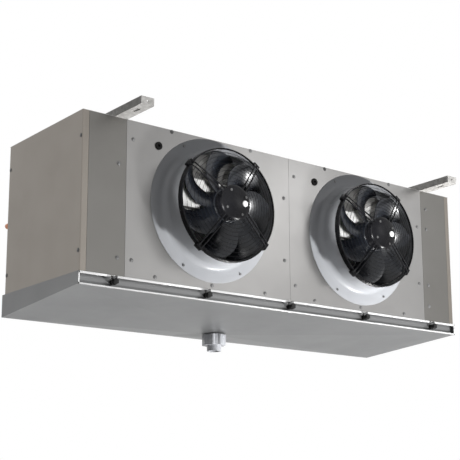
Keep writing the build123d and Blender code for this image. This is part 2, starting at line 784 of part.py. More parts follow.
def drain_fitting():
    """Drain pipe with a collar inside the tray and a thread below."""
    collar = z_apex + drain_collar_rise
    stub_end = z_apex - drain_length
    body = rod_z(drain_stub_dia / 2, stub_end, collar, drain_x, y_drain)
    body += rod_z(drain_thread_dia / 2, stub_end + drain_stub_length, collar, drain_x, y_drain)
    flange = drain_thread_dia / 2 + drain_collar_width
    body += rod_z(flange, collar, collar + drain_collar, drain_x, y_drain)
    return body - rod_z(drain_bore / 2, stub_end - 1, collar + drain_collar + 1, drain_x, y_drain)


def drain_nut():
    """Lobed nut that clamps the tray against the collar."""
    top = z_apex - clearance
    outer = drain_nut_dia / 2
    grip = extrude(Circle(outer - 4), amount=-drain_nut_height)
    lobe_radius = outer * sin(radians(180 / drain_nut_lobes)) * 0.62
    lobe = Pos(outer - lobe_radius, 0, 0) * extrude(Circle(lobe_radius), amount=-drain_nut_height)
    for n in range(drain_nut_lobes):
        grip += Rot(0, 0, 360 / drain_nut_lobes * n) * lobe
    bore = drain_thread_dia / 2 + clearance
    grip -= Cylinder(bore, 3 * drain_nut_height)
    return Pos(drain_x, y_drain, top) * grip


def hinge_bracket(x):
    """Casing half of a tray hinge: plate on the back sill and two tabs."""
    seat = y_back - sheet - clearance
    r = hinge_knuckle_radius
    half = hinge_knuckle_width / 2 + 0.5
    top = z_rim + hinge_plate_height
    body = slab(x - half - hinge_tab, x + half + hinge_tab, seat, seat + hinge_tab, z_rim + 2, top)
    outline = Polyline((seat, z_rim + 2), (y_hinge - r, z_rim + 2), (y_hinge - r, z_hinge),
                       (y_hinge + r, z_hinge), (y_hinge + r, z_rim + 2 + r), (seat + hinge_tab, top),
                       (seat, top), close=True)
    for start in (x - half - hinge_tab, x + half):
        tab = Plane(origin=(start, 0, 0), x_dir=(0, 1, 0), z_dir=(1, 0, 0)) * make_face(outline)
        body += extrude(tab, amount=hinge_tab)
        body += rod_x(r, start, start + hinge_tab, y_hinge, z_hinge)
    return body - rod_x(hinge_pin_dia / 2 + clearance, x - 40, x + 40, y_hinge, z_hinge)


def hinge_leaf(x):
    """Tray half of a tray hinge: strap on the tray back with its knuckle."""
    half = hinge_knuckle_width / 2
    body = slab(x - half, x + half, y_tray_back, y_tray_back + 2.5, z_hinge - hinge_plate_height, z_hinge)
    body += rod_x(hinge_knuckle_radius, x - half, x + half, y_hinge, z_hinge)
    return body - rod_x(hinge_pin_dia / 2 + clearance, x - 40, x + 40, y_hinge, z_hinge)


def hinge_pin(x):
    """Pin of a tray hinge."""
    half = hinge_knuckle_width / 2 + 0.5 + hinge_tab + 2
    return rod_x(hinge_pin_dia / 2, x - half, x + half, y_hinge, z_hinge)


# ------------------------------------------------------------------- latches
def latch_bracket(x):
    """Angle under the front sill that carries a latch stud."""
    t = latch_bracket_sheet
    half = latch_bracket_width / 2
    y0 = y_tray_web + tray_sheet + latch_bracket_gap
    body = slab(x - half, x + half, y0, y0 + t, z_latch - half, z_rim)
    body += slab(x - half, x + half, y0, y0 + latch_bracket_width, z_rim - t, z_rim)
    return body - rod_y(stud_dia / 2 + clearance, y0 - 1, y0 + t + 1, x, z_latch)


def latch_stud(x):
    """Threaded stud through the bracket, with its head behind it."""
    y0 = y_tray_web + tray_sheet + latch_bracket_gap
    back = y0 + latch_bracket_sheet
    body = rod_y(stud_dia / 2, y_tray_web - clearance - knob_length + 5, back, x, z_latch)
    head = Pos(x, back, z_latch) * Rot(-90, 0, 0) * extrude(RegularPolygon(stud_dia * 0.8, 6), amount=5)
    return body + head


def latch_knob(x):
    """Thumb knob on the stud: round base, waist, lobed head."""
    seat = y_tray_web - clearance
    base = knob_length * 0.2
    neck = knob_length * 0.4
    body = rod_y(knob_base_dia / 2, seat - base, seat, x, z_latch)
    body += rod_y(knob_neck_dia / 2, seat - neck, seat, x, z_latch)
    tips = []
    for n in range(12):
        reach = knob_head_dia / 2 if n % 2 else knob_head_dia / 2 - 2
        tips.append((reach * cos(radians(30 * n)), reach * sin(radians(30 * n))))
    head = extrude(make_face(Polyline(*tips, close=True)), amount=knob_length - neck)
    body += Pos(x, seat - neck, z_latch) * Rot(90, 0, 0) * head
    return body - rod_y(stud_dia / 2 + clearance, seat - knob_length + 4, seat + 1, x, z_latch)


# -------------------------------------------------------------------- screws
def front_screw_places():
    """Screws on the front covers, apart from the nozzle flanges."""
    low, high = z_rim + rim_screw_inset, -top_screw_inset
    places = []
    for x in fan_xs:
        for offset in (-top_screw_offset, top_screw_offset):
            places.append((x + offset, high))
        for offset in (-rim_screw_offset, 0, rim_screw_offset):
            places.append((x + offset, low))
        edge = bay_width / 2 - edge_screw_inset
        for z in heights(left_edge_screws):
            places.append((x - edge, z))
        for z in heights(right_edge_screws):
            places.append((x + edge, z))
    end = x_bay + end_screw_inset
    for z in heights(end_cover_screws):
        places += [(-end, z), (end, z)]
    return places + [(end, z) for z in heights(extra_end_screws)]


def heights(pair):
    """Two heights from a distance above the tray rim and one below the top."""
    return z_rim + pair[0], -pair[1]


def screw_head(face_y, x, z):
    """Hexagon screw head on a front face."""
    head = extrude(RegularPolygon(screw_head_dia / 2, 6), amount=screw_head_height)
    return Pos(x, face_y, z) * Rot(90, 0, 0) * head


def casing_screws():
    """Screw heads on the front and side covers."""
    heads = [screw_head(y_front, x, z) for x, z in front_screw_places()]
    for side in (-1, 1):
        for z in heights(side_cover_screws):
            for y in (y_front + side_screw_inset, y_back - side_screw_inset):
                head = extrude(RegularPolygon(screw_head_dia / 2, 6), amount=screw_head_height)
                heads.append(Pos(side * x_side, y, z) * Rot(0, 90 * side, 0) * head)
    return heads


def nozzle_screws(x):
    """Screws of a nozzle flange, with their shanks through it."""
    screws = []
    for px, pz in nozzle_screw_places(x):
        shank = rod_y(screw_dia / 2, y_front - nozzle_sheet, y_front, px, pz)
        screws.append(screw_head(y_front - nozzle_sheet, px, pz) + shank)
    return screws


def motor_screws(x):
    """Screws through the guard plate into the motor flange."""
    screws = []
    for px, pz in motor_screw_offsets():
        y = y_front - motor_plate_front
        shank = rod_y(screw_dia / 2, y, y + motor_plate_thickness + stator_flange / 3, x + px, z_fan - pz)
        screws.append(screw_head(y, x + px, z_fan - pz) + shank)
    return screws


# --------------------------------------------------------------------- parts
write("top_panel", top_panel())
write("side_cover_right", side_cover())
write("side_cover_left", mirrored(side_cover()))
write("end_cover_right", end_cover())
write("end_cover_left", mirrored(end_cover()))
write("back_cover_right", back_cover())
write("back_cover_left", piped(mirrored(back_cover())))
write("front_sill", sill(y_front, 1))
write("back_sill", sill(y_back, -1))
write("bay_partition", bay_partition())
write("hanger_rail_right", hanger_rail())
write("hanger_rail_left", mirrored(hanger_rail()))
write("rail_bolts", *[hex_bolt(x, y) for x, y in rail_bolt_places()])
write("rail_nuts", *[hex_nut(x, y) for x, y in rail_bolt_places()])

guard = fan_guard()
motor_stator = stator()
motor_rotor = rotor()
fan_impeller = impeller()
for side, x in zip(sides, fan_xs):
    write(f"fan_panel_{side}", fan_panel(x))
    write(f"fan_nozzle_{side}", nozzle(x))
    write(f"nozzle_screws_{side}", *nozzle_screws(x))
    write(f"fan_guard_{side}", on_fan(guard, x))
    write(f"motor_stator_{side}", on_fan(motor_stator, x))
    write(f"motor_rotor_{side}", on_fan(motor_rotor, x))
    write(f"impeller_{side}", on_fan(fan_impeller, x))
    write(f"motor_screws_{side}", *motor_screws(x))
    write(f"cable_grommet_{side}", grommet(x))
plug_y = y_front - motor_plate_front
write("motor_plugs", *[rod_y(plug_dia / 2, plug_y - 1.5, plug_y, x + plug_offset, z_fan) for x in fan_xs])

write("tube_plate_right", tube_plate(x_bay, 1))
write("tube_plate_left", tube_plate(-x_bay, -1))
write("coil_tubes", *coil_tubes())
write("return_bends", *return_bends())
write("coil_fins", *coil_fins())
write("suction_header", suction_header())
write("liquid_distributor", liquid_distributor())
write("defrost_heaters", *defrost_heaters())
write("coil_drip_plate", coil_drip_plate())
write("terminal_box", terminal_box_body())
write("terminal_box_lid", terminal_box_lid())
write("cable_glands", *[cable_gland(x, y) for x, y in gland_places()])

write("drip_tray", drip_tray())
write("drain_fitting", drain_fitting())
write("drain_nut", drain_nut())
write("hinge_brackets", *[hinge_bracket(x) for x in hinge_xs])
write("hinge_leaves", *[hinge_leaf(x) for x in hinge_xs])
write("hinge_pins", *[hinge_pin(x) for x in hinge_xs])
write("latch_brackets", *[latch_bracket(x) for x in latch_xs])
write("latch_studs", *[latch_stud(x) for x in latch_xs])
for number, x in enumerate(latch_xs, 1):
    write(f"latch_knob_{number}", latch_knob(x))
write("casing_screws", *casing_screws())
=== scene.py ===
import logging
import math
from dataclasses import dataclass, field
from enum import Enum
from functools import cache
from typing import Iterable, Sequence

import bmesh
import bpy
from mathutils import Matrix, Vector


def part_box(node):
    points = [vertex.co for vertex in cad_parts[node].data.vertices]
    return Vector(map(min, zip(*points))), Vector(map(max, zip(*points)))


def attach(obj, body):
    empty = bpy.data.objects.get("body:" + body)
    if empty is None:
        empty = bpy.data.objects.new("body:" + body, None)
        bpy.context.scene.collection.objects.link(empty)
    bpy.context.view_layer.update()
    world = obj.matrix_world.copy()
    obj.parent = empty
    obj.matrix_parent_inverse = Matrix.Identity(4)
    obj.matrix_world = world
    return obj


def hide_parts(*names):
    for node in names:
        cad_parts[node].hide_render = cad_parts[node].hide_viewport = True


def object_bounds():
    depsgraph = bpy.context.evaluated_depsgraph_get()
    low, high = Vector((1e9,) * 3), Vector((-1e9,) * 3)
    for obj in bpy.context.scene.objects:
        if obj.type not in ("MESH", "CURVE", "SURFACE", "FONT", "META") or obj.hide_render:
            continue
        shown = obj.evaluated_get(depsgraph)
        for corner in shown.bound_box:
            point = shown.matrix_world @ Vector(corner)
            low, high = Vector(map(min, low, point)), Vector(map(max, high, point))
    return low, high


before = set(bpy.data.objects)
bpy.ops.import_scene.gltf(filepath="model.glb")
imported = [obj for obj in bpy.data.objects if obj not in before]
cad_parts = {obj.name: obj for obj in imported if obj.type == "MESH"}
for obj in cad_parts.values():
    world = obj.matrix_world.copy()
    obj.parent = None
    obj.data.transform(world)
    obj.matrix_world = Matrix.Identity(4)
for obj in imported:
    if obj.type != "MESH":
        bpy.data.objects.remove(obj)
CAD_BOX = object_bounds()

Colour = tuple[float, float, float]
Pair = tuple[float, float]
Profile = Sequence[Pair]

# Sizes are in metres, and angles in degrees, where nothing else is said.
LOG = logging.getLogger("unit_cooler")
SIDES = ("left", "right")
KNOBS = range(1, 6)
MERGE = 1e-6  # points nearer than this are one, in metres
FLAT = 1e-12  # a face smaller than this is none, in square metres
FACING = Matrix(((1, 0, 0, 0), (0, 0, -1, 0), (0, 1, 0, 0), (0, 0, 0, 1)))  # turns +Z to the front


# ------------------------------------------------------------------ finishes
class Lines(Enum):
    """Way in which the fine lines of a finish run, as stretch along X, Y and Z."""

    EVEN = (1.0, 1.0, 1.0)
    ALONG = (0.5, 14.0, 14.0)
    UPRIGHT = (14.0, 14.0, 0.5)


@dataclass(frozen=True)
class Speckle:
    """Uneven pattern: spots per metre, octaves, and strength of each octave."""

    scale: float
    detail: float = 3.0
    rough: float = 0.55


class Wiring:
    """Node tree of one material, with a Principled shader at its end."""

    def __init__(self, name: str) -> None:
        """Start an empty material.

        Args:
            name: Name of the material.
        """
        self.material = bpy.data.materials.new(name)
        self.material.use_nodes = True
        self.tree = self.material.node_tree
        self.shader = self.tree.nodes["Principled BSDF"]
        self.place = self.tree.nodes.new("ShaderNodeTexCoord").outputs["Object"]

    def set(self, **values: float | Colour) -> None:
        """Set sockets of the shader.

        Args:
            values: Name and value of each; underscores stand for blanks.
        """
        for name, value in values.items():
            socket = self.shader.inputs[name.replace("_", " ").title().replace("Ior", "IOR")]
            socket.default_value = (*value, 1.0) if isinstance(value, tuple) else value

    def link(self, source: bpy.types.NodeSocket, socket: str) -> None:
        """Lead a value into a socket of the shader."""
        self.tree.links.new(source, self.shader.inputs[socket])

    def add(self, kind: str, source: bpy.types.NodeSocket, entry: str,
            **values: float | Sequence[float]) -> bpy.types.Node:
        """Add a node that a value leads into.

        Args:
            kind: Type of the node.
            source: Value that leads into it.
            entry: Socket that takes the value.
            values: Constants of other sockets; underscores stand for blanks.

        Returns:
            The node.
        """
        node = self.tree.nodes.new(kind)
        for name, value in values.items():
            node.inputs[name.replace("_", " ")].default_value = value
        self.tree.links.new(source, node.inputs[entry])
        return node

    def noise(self, speckle: Speckle, lines: Lines = Lines.EVEN) -> bpy.types.NodeSocket:
        """Uneven factor over the surface.

        Args:
            speckle: Size and roughness of the pattern.
            lines: Way in which it is drawn out.

        Returns:
            The factor, from 0 to 1.
        """
        mapped = self.add("ShaderNodeMapping", self.place, "Vector", Scale=lines.value)
        pattern = self.add("ShaderNodeTexNoise", mapped.outputs["Vector"], "Vector",
                           Scale=speckle.scale, Detail=speckle.detail, Roughness=speckle.rough)
        return pattern.outputs["Fac"]

    def cells(self, scale: float) -> bpy.types.NodeSocket:
        """Random grey for each cell of a crystal pattern.

        Args:
            scale: Cells per metre.

        Returns:
            The grey, from 0 to 1.
        """
        pattern = self.add("ShaderNodeTexVoronoi", self.place, "Vector", Scale=scale)
        split = self.add("ShaderNodeSeparateColor", pattern.outputs["Color"], "Color")
        return split.outputs["Red"]

    def spread(self, factor: bpy.types.NodeSocket, to: Pair, within: Pair) -> bpy.types.NodeSocket:
        """Lead a factor from one range of numbers to another.

        Args:
            factor: The factor.
            to: Lowest and highest result.
            within: Part of the factor's range that gives them.

        Returns:
            The result.
        """
        node = self.add("ShaderNodeMapRange", factor, "Value", From_Min=within[0],
                        From_Max=within[1], To_Min=to[0], To_Max=to[1])
        return node.outputs["Result"]

    def blend(self, factor: bpy.types.NodeSocket, colours: tuple[Colour, Colour],
              within: Pair) -> bpy.types.NodeSocket:
        """Colour that runs from dark to light with a factor.

        Args:
            factor: The factor.
            colours: Dark and light colour.
            within: Part of the factor's range in which the colour changes.

        Returns:
            The colour.
        """
        node = self.add("ShaderNodeValToRGB", factor, "Fac")
        for element, position, colour in zip(node.color_ramp.elements, within, colours):
            element.position = position
            element.color = (*colour, 1.0)
        return node.outputs["Color"]

    def bump(self, height: bpy.types.NodeSocket, strength: float, distance: float) -> None:
        """Raise the surface by a height pattern, with its distance in metres."""
        node = self.add("ShaderNodeBump", height, "Height", Strength=strength, Distance=distance)
        self.link(node.outputs["Normal"], "Normal")


@dataclass(frozen=True)
class Finish:
    """Finish with uneven colour, uneven gloss and a fine relief.

    The tone pattern leads the colour from dark to light, and the gloss pattern
    leads the roughness, each over the part of its range that within gives. The
    lines draw out the relief. The defaults are those of moulded plastic, and
    each kind of finish below has its own.
    """

    name: str
    dark: Colour
    light: Colour
    rough: Pair = (0.25, 0.4)
    metallic: float = 0.0
    shine: float = 0.4
    tone: Speckle = Speckle(12.0, 4.0)
    gloss: Speckle = Speckle(25.0, 4.0)
    relief: Speckle = Speckle(180.0)
    lines: Lines = Lines.EVEN
    strength: float = 0.05
    depth: float = 0.0003
    within: Pair = (0.3, 0.7)

    def patterns(self, wires: Wiring) -> tuple[bpy.types.NodeSocket, bpy.types.NodeSocket]:
        """Patterns that the colour and the gloss follow."""
        return wires.noise(self.tone), wires.noise(self.gloss)

    def material(self) -> bpy.types.Material:
        """Build the material.

        Returns:
            The material.
        """
        wires = Wiring(self.name)
        wires.set(metallic=self.metallic, specular_ior_level=self.shine)
        tone, gloss = self.patterns(wires)
        wires.link(wires.blend(tone, (self.dark, self.light), self.within), "Base Color")
        wires.link(wires.spread(gloss, self.rough, self.within), "Roughness")
        wires.bump(wires.noise(self.relief, self.lines), self.strength, self.depth)
        return wires.material


@dataclass(frozen=True)
class SheetFinish(Finish):
    """Satin rolled sheet with soft clouds and fine rolling lines."""

    rough: Pair = (0.36, 0.46)
    metallic: float = 0.8
    shine: float = 0.5
    tone: Speckle = Speckle(2.2, 4.0)
    gloss: Speckle = Speckle(5.0, 5.0)
    relief: Speckle = Speckle(40.0, 4.0, 0.6)
    lines: Lines = Lines.ALONG
    strength: float = 0.06
    depth: float = 0.0006


@dataclass(frozen=True)
class ZincFinish(Finish):
    """Galvanised steel with crystal spangle."""

    rough: Pair = (0.3, 0.5)
    shine: float = 0.25
    relief: Speckle = Speckle(220.0)
    depth: float = 0.0004
    within: Pair = (0.0, 1.0)
    spangle: float = 90.0

    def patterns(self, wires: Wiring) -> tuple[bpy.types.NodeSocket, bpy.types.NodeSocket]:
        """Spangle, for the colour and the gloss alike."""
        cells = wires.cells(self.spangle)
        return cells, cells


@dataclass(frozen=True)
class CoatFinish(Finish):
    """Black powder coat or varnish over steel."""

    rough: Pair = (0.2, 0.32)
    shine: float = 0.15
    tone: Speckle = Speckle(18.0)
    gloss: Speckle = Speckle(60.0)
    relief: Speckle = Speckle(700.0, 2.0)
    strength: float = 0.04
    depth: float = 0.0002


@dataclass(frozen=True)
class MetalFinish(Finish):
    """Bare drawn or cut metal, such as fins, copper and screws."""

    metallic: float = 0.9
    shine: float = 0.5
    tone: Speckle = Speckle(30.0, 5.0)
    gloss: Speckle = Speckle(60.0)
    relief: Speckle = Speckle(240.0, 2.0)
    strength: float = 0.08


def grey(level: float) -> Colour:
    """Neutral colour of one level."""
    return level, level, level


class Paint:
    """Every finish of the cooler."""

    side_sheet = SheetFinish("side_sheet", (0.238, 0.217, 0.193), (0.268, 0.246, 0.220),
                             metallic=0.92, lines=Lines.UPRIGHT)
    end_sheet = SheetFinish("end_sheet", (0.165, 0.160, 0.150), (0.195, 0.190, 0.180),
                            metallic=0.88, lines=Lines.UPRIGHT)
    panel_sheet = SheetFinish("panel_sheet", (0.27, 0.265, 0.26), (0.335, 0.33, 0.325),
                              rough=(0.29, 0.37), lines=Lines.UPRIGHT)
    top_sheet = SheetFinish("top_sheet", (0.40, 0.395, 0.385), (0.48, 0.475, 0.465), metallic=0.6)
    inner_sheet = SheetFinish("inner_sheet", (0.66, 0.655, 0.645), (0.74, 0.735, 0.725),
                              metallic=0.25)
    nozzle_sheet = SheetFinish("nozzle_sheet", (0.38, 0.39, 0.41), (0.45, 0.46, 0.48),
                               rough=(0.26, 0.34), metallic=0.0, shine=0.25,
                               tone=Speckle(3.0, 4.0), relief=Speckle(240.0, 4.0, 0.6),
                               lines=Lines.EVEN)
    tray_sheet = SheetFinish("tray_sheet", (0.185, 0.187, 0.189), (0.225, 0.227, 0.229),
                             metallic=0.6)
    # The hem strips' near-white colour is a painted highlight: the real hems are tray sheet that
    # only looks white where it catches the light.
    hem_painted_highlight = SheetFinish("hem_painted_highlight", grey(0.80), grey(0.88), rough=(0.2, 0.3), metallic=0.3)
    rail_zinc = ZincFinish("rail_zinc", (0.40, 0.39, 0.375), (0.58, 0.57, 0.55))
    bracket_zinc = ZincFinish("bracket_zinc", (0.42, 0.42, 0.41), (0.6, 0.6, 0.59), spangle=160.0)
    blade_black = Finish("blade_black", (0.005, 0.006, 0.009), (0.010, 0.012, 0.016),
                         rough=(0.22, 0.34), shine=0.5, relief=Speckle(90.0), strength=0.03)
    wire_black = CoatFinish("wire_black", (0.004, 0.004, 0.005), (0.008, 0.008, 0.009), shine=0.1)
    motor_black = CoatFinish("motor_black", (0.005, 0.005, 0.006), (0.010, 0.010, 0.012),
                             rough=(0.14, 0.24), shine=0.4)
    knob_black = Finish("knob_black", grey(0.008), grey(0.016), shine=0.25)
    rubber_black = Finish("rubber_black", grey(0.006), grey(0.012), rough=(0.5, 0.7), shine=0.2)
    plug_white = Finish("plug_white", (0.88, 0.89, 0.89), grey(0.95), rough=(0.3, 0.4))
    box_grey = Finish("box_grey", (0.36, 0.37, 0.38), (0.42, 0.43, 0.44), rough=(0.45, 0.6))
    drain_grey = MetalFinish("drain_grey", (0.36, 0.37, 0.39), (0.52, 0.53, 0.56),
                             rough=(0.2, 0.3), metallic=0.05)
    fin_foil = MetalFinish("fin_foil", (0.78, 0.78, 0.77), (0.94, 0.94, 0.93),
                           rough=(0.3, 0.5), metallic=0.25)
    copper = MetalFinish("copper", (0.48, 0.20, 0.11), (0.70, 0.36, 0.22))
    zinc_screw = MetalFinish("zinc_screw", grey(0.10), grey(0.20), rough=(0.3, 0.45), metallic=0.15)
    dull_screw = MetalFinish("dull_screw", grey(0.05), grey(0.10), rough=(0.3, 0.4), metallic=0.3)
    heater_steel = MetalFinish("heater_steel", (0.25, 0.24, 0.23), (0.38, 0.37, 0.36))


@cache
def material_of(finish: Finish) -> bpy.types.Material:
    """Material of a finish, built once."""
    return finish.material()


# ------------------------------------------------------------------- helpers
def node_box(node: str) -> tuple[Vector, Vector]:
    """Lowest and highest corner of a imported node."""
    low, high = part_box(node)
    return Vector(low), Vector(high)


def dress(finish: Finish, *nodes: str) -> None:
    """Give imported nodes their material.

    Args:
        finish: The finish that they share.
        nodes: Names of the nodes.
    """
    for node in nodes:
        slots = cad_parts[node].data.materials
        slots.clear()
        slots.append(material_of(finish))
        LOG.info("%s: packed node in %s", node, finish.name)


def make_piece(shape: bmesh.types.BMesh, name: str, finish: Finish, body: str,
               stands_for: Iterable[str] = (), crease: float = 35.0) -> None:
    """Turn a finished shape into a piece of the cooler.

    Args:
        shape: Closed mesh in its place in the frame. It is used up.
        name: Name of the piece.
        finish: Its finish.
        body: Body that it rides on.
        stands_for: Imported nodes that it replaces.
        crease: Angle in degrees above which an edge stays sharp.
    """
    for face in shape.faces:
        face.smooth = True
    for edge in shape.edges:
        edge.smooth = edge.is_manifold and edge.calc_face_angle(0.0) < math.radians(crease)
    mesh = bpy.data.meshes.new(name)
    shape.to_mesh(mesh)
    shape.free()
    piece = bpy.data.objects.new(name, mesh)
    bpy.context.scene.collection.objects.link(piece)
    mesh.materials.append(material_of(finish))
    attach(piece, body)
    if stands_for:
        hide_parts(*stands_for)
    LOG.info("%s: %d faces on %s", name, len(mesh.polygons), body)


def put_in(shape: bmesh.types.BMesh, extra: bmesh.types.BMesh, place: Matrix) -> None:
    """Put one mesh into another.

    Args:
        shape: Mesh that grows.
        extra: Mesh that goes into it. It is used up.
        place: Where the extra mesh goes.
    """
    bmesh.ops.transform(extra, matrix=place, verts=extra.verts)
    mesh = bpy.data.meshes.new("joining")
    extra.to_mesh(mesh)
    extra.free()
    shape.from_mesh(mesh)
    bpy.data.meshes.remove(mesh)


def lathe(shape: bmesh.types.BMesh, profile: Profile, steps: int = 96) -> None:
    """Add a closed profile turned about the Z axis.

    Args:
        shape: Mesh that takes the ring.
        profile: Corners as radius and height, going round once.
        steps: Steps in a full turn.
    """
    points = [shape.verts.new((radius, 0.0, height)) for radius, height in profile]
    edges = [shape.edges.new((a, b)) for a, b in zip(points, points[1:] + points[:1])]
    bmesh.ops.spin(shape, geom=points + edges, cent=(0, 0, 0), axis=(0, 0, 1), dvec=(0, 0, 0),
                   angle=math.tau, steps=steps, use_merge=True)
    bmesh.ops.remove_doubles(shape, verts=shape.verts, dist=MERGE)
    flat = [face for face in shape.faces if face.calc_area() < FLAT]
    bmesh.ops.delete(shape, geom=flat, context="FACES")
    bmesh.ops.recalc_face_normals(shape, faces=shape.faces)


def arc(centre: Pair, radius: float, start: float, end: float, steps: int = 6) -> list[Pair]:
    """Points of an arc in a profile, angles in degrees."""
    turn = [math.radians(start + (end - start) * step / steps) for step in range(steps + 1)]
    return [(centre[0] + radius * math.cos(a), centre[1] + radius * math.sin(a)) for a in turn]


def rod(shape: bmesh.types.BMesh, start: Vector, end: Vector, radius: float, sides: int) -> None:
    """Add a round bar with closed ends.

    Args:
        shape: Mesh that takes the bar.
        start: Middle of one end.
        end: Middle of the other end.
        radius: Its radius.
        sides: Its number of sides.
    """
    along = end - start
    turn = along.to_track_quat("Z", "Y").to_matrix().to_4x4()
    bmesh.ops.create_cone(shape, cap_ends=True, segments=sides, radius1=radius, radius2=radius,
                          depth=along.length, matrix=Matrix.Translation((start + end) / 2) @ turn)


def wire(shape: bmesh.types.BMesh, points: Sequence[Vector], radius: float, sides: int = 10,
         rings: int = 6) -> None:
    """Add a wire with round knees.

    Args:
        shape: Mesh that takes the wire.
        points: Its ends and knees in order.
        radius: Its radius.
        sides: Its number of sides.
        rings: Rings of faces in a knee.
    """
    for start, end in zip(points, points[1:]):
        rod(shape, start, end, radius, sides)
    for knee in points[1:-1]:
        bmesh.ops.create_uvsphere(shape, u_segments=sides, v_segments=rings, radius=radius,
                                  matrix=Matrix.Translation(knee))


def block(shape: bmesh.types.BMesh, low: Sequence[float], high: Sequence[float],
          edge: float = 0.0) -> None:
    """Add a box.

    Args:
        shape: Mesh that takes the box.
        low: Its lowest corner.
        high: Its highest corner.
        edge: Width of its rounded edges; 0 leaves them sharp.
    """
    centre = [(a + b) / 2 for a, b in zip(low, high)]
    size = [b - a for a, b in zip(low, high)]
    place = Matrix.Translation(centre) @ Matrix.Diagonal((*size, 1.0))
    made = bmesh.ops.create_cube(shape, size=1.0, matrix=place)
    if edge:
        round_off(shape, {e for vert in made["verts"] for e in vert.link_edges}, edge)


def round_off(shape: bmesh.types.BMesh, edges: Iterable[bmesh.types.BMEdge], width: float) -> None:
    """Round edges of a mesh by a width in metres."""
    bmesh.ops.bevel(shape, geom=list(edges), offset=width, affect="EDGES", segments=2,
                    profile=0.5, material=-1, clamp_overlap=True)


def softened(node: str, edge: float, sharper_than: float = 30.0,
             level: float = 0.5) -> bmesh.types.BMesh:
    """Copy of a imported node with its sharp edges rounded.

    Args:
        node: Name of the node.
        edge: Width of the rounding in metres.
        sharper_than: Angle in degrees from which an edge is rounded.
        level: Angle in degrees below which two faces are one.

    Returns:
        The new mesh.
    """
    shape = bmesh.new()
    shape.from_mesh(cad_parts[node].data)
    bmesh.ops.remove_doubles(shape, verts=shape.verts, dist=MERGE)
    bmesh.ops.dissolve_limit(shape, angle_limit=math.radians(level), verts=shape.verts,
                             edges=shape.edges)
    limit = math.radians(sharper_than)
    round_off(shape, [e for e in shape.edges if e.is_manifold and e.calc_face_angle(0.0) > limit],
              edge)
    return shape


def loose_boxes(node: str) -> list[tuple[Vector, Vector]]:
    """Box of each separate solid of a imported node.

    Args:
        node: Name of the node.

    Returns:
        Lowest and highest corner of each, in the order of their corners.
    """
    shape = bmesh.new()
    shape.from_mesh(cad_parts[node].data)
    bmesh.ops.remove_doubles(shape, verts=shape.verts, dist=MERGE)
    left = set(shape.verts)
    boxes = []
    while left:
        front = [left.pop()]
        found = []
        while front:
            vert = front.pop()
            found.append(vert.co.copy())
            near = {edge.other_vert(vert) for edge in vert.link_edges} & left
            left -= near
            front.extend(near)
        boxes.append((Vector(map(min, zip(*found))), Vector(map(max, zip(*found)))))
    shape.free()
    return sorted(boxes, key=lambda box: tuple(box[0]))


# ------------------------------------------------------------------- fan set
@dataclass
class FanPart:
    """Place and shared sizes of one fan, read from its packed nozzle and guard.

    The shapes of a fan are drawn facing +Z, with the panel face at height 0,
    and are then turned to face the front.
    """

    side: str
    sheet: float = 0.0015
    neck_outer: float = 0.1825
    place: Matrix = field(init=False)
    flange: float = field(init=False)
    length: float = field(init=False)
    plate_front: float = field(init=False)

    def __post_init__(self) -> None:
        """Read the place of the fan."""
        low, high = node_box(f"fan_nozzle_{self.side}")
        guard_low, _ = node_box(f"fan_guard_{self.side}")
        centre = (low + high) / 2
        self.place = Matrix.Translation((centre.x, high.y, centre.z)) @ FACING
        self.flange = (high.x - low.x) / 2
        self.length = high.y - low.y
        self.plate_front = high.y - guard_low.y

    def reach(self, node: str) -> tuple[float, float, float]:
        """Extent of a round node of this fan.

        Args:
            node: Name of the node without its side.

        Returns:
            Height of its back, height of its front, and its radius.
        """
        low, high = node_box(f"{node}_{self.side}")
        face = self.place.translation.y
        return face - high.y, face - low.y, (high.x - low.x) / 2

    def piece(self, shape: bmesh.types.BMesh, name: str, finish: Finish, body: str, slot: str,
              node: str, crease: float = 35.0) -> None:
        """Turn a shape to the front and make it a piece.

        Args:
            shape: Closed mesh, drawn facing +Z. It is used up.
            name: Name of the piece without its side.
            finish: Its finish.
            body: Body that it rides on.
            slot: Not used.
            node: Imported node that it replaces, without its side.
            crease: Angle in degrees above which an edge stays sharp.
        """
        bmesh.ops.transform(shape, matrix=self.place, verts=shape.verts)
        make_piece(shape, f"{name}_{self.side}", finish, body, [f"{node}_{self.side}"],
                   crease)


@dataclass
class Nozzle(FanPart):
    """Drawn nozzle: flange, bend and neck."""

    flare: float = 0.022
    steps: int = 160
    bend_steps: int = 12

    def build(self) -> None:
        """Make the nozzle."""
        t, start = self.sheet, self.neck_outer + self.flare
        height, inner = t + self.flare, self.neck_outer - t
        profile = [(self.flange, 0.0), *arc((self.flange - t / 2, t / 2), t / 2, -90, 90, 4)[1:]]
        profile += arc((start, height), self.flare, 270, 180, self.bend_steps)
        profile += [(self.neck_outer, self.length), (inner, self.length)]
        profile += arc((start, height), self.flare + t, 180, 270, self.bend_steps)
        shape = bmesh.new()
        lathe(shape, profile, self.steps)
        self.piece(shape, "drawn_nozzle", Paint.nozzle_sheet, "casing", "nozzle_sheet",
                   "fan_nozzle")


